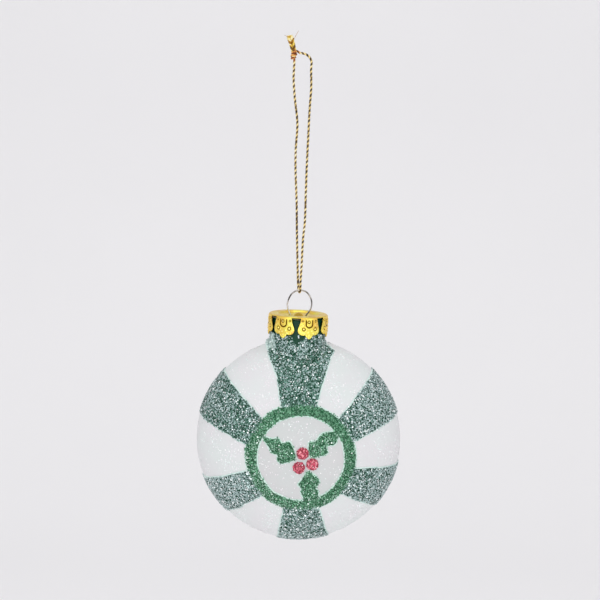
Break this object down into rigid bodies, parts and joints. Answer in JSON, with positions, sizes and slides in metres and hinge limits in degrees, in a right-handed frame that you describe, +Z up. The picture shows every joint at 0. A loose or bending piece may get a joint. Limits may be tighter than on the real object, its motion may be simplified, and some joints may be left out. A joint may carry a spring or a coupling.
{
  "type": "christmas bauble",
  "caption": "Hanging glass disc bauble with glitter stripes and holly, a petalled cap, a sprung wire ring and a loop of cord.",
  "frame": {"origin": "where a peg or hook bears in the top of the cord's loop, on its middle line", "axes": "+Z up along the hanging cord, the decorated front face towards -Y, +X to the right of someone who looks at the front"},
  "size_m": [0.0799, 0.0444, 0.1956],
  "materials": {
    "frosted_glass": "blown glass, frosted white inside, with a fine iridescent sparkle",
    "green_glitter": "plastic glitter in clear glue, silvery sea green",
    "leaf_glitter": "plastic glitter in clear glue, fuller green",
    "red_glitter": "plastic glitter in a thick drop of clear glue, pinkish red",
    "gold_cap": "thin pressed sheet, gold anodised, bright",
    "steel_wire": "drawn spring wire, bright",
    "gold_cord": "twisted metallic thread, gold and brown"
  },
  "bodies": {
    "cord": {"cord_loop": "gold_cord", "cord_knot": "gold_cord", "cord_tail_left": "gold_cord", "cord_tail_right": "gold_cord"},
    "hanger": {"hanger_wire": "steel_wire"},
    "cap": {"cap": "gold_cap"},
    "glass": {"glass_bulb": "frosted_glass", "stripe_top": "green_glitter", "stripe_upper_left": "green_glitter", "stripe_lower_left": "green_glitter", "stripe_bottom": "green_glitter", "stripe_lower_right": "green_glitter", "stripe_upper_right": "green_glitter", "front_ring": "leaf_glitter", "front_leaf_left": "leaf_glitter", "front_leaf_right": "leaf_glitter", "front_leaf_bottom": "leaf_glitter", "front_berry_top": "red_glitter", "front_berry_left": "red_glitter", "front_berry_right": "red_glitter", "back_ring": "leaf_glitter", "back_leaf_left": "leaf_glitter", "back_leaf_right": "leaf_glitter", "back_leaf_bottom": "leaf_glitter", "back_berry_top": "red_glitter", "back_berry_left": "red_glitter", "back_berry_right": "red_glitter"}
  },
  "joints": [
    {"name": "hanger_swing", "type": "hinge", "parent": "cord", "child": "hanger", "pos_m": [-0.00085, 0, -0.08995], "axis": [0, 1, 0], "range_deg": [-35, 35]},
    {"name": "cap_tilt", "type": "hinge", "parent": "hanger", "child": "cap", "pos_m": [-0.00121, 0, -0.09784], "axis": [0.9992, 0, -0.0401], "range_deg": [-10, 10]},
    {"name": "glass_pull", "type": "slide", "parent": "cap", "child": "glass", "axis": [0, 0, -1], "range_m": [0, 0.02]}
  ]
}
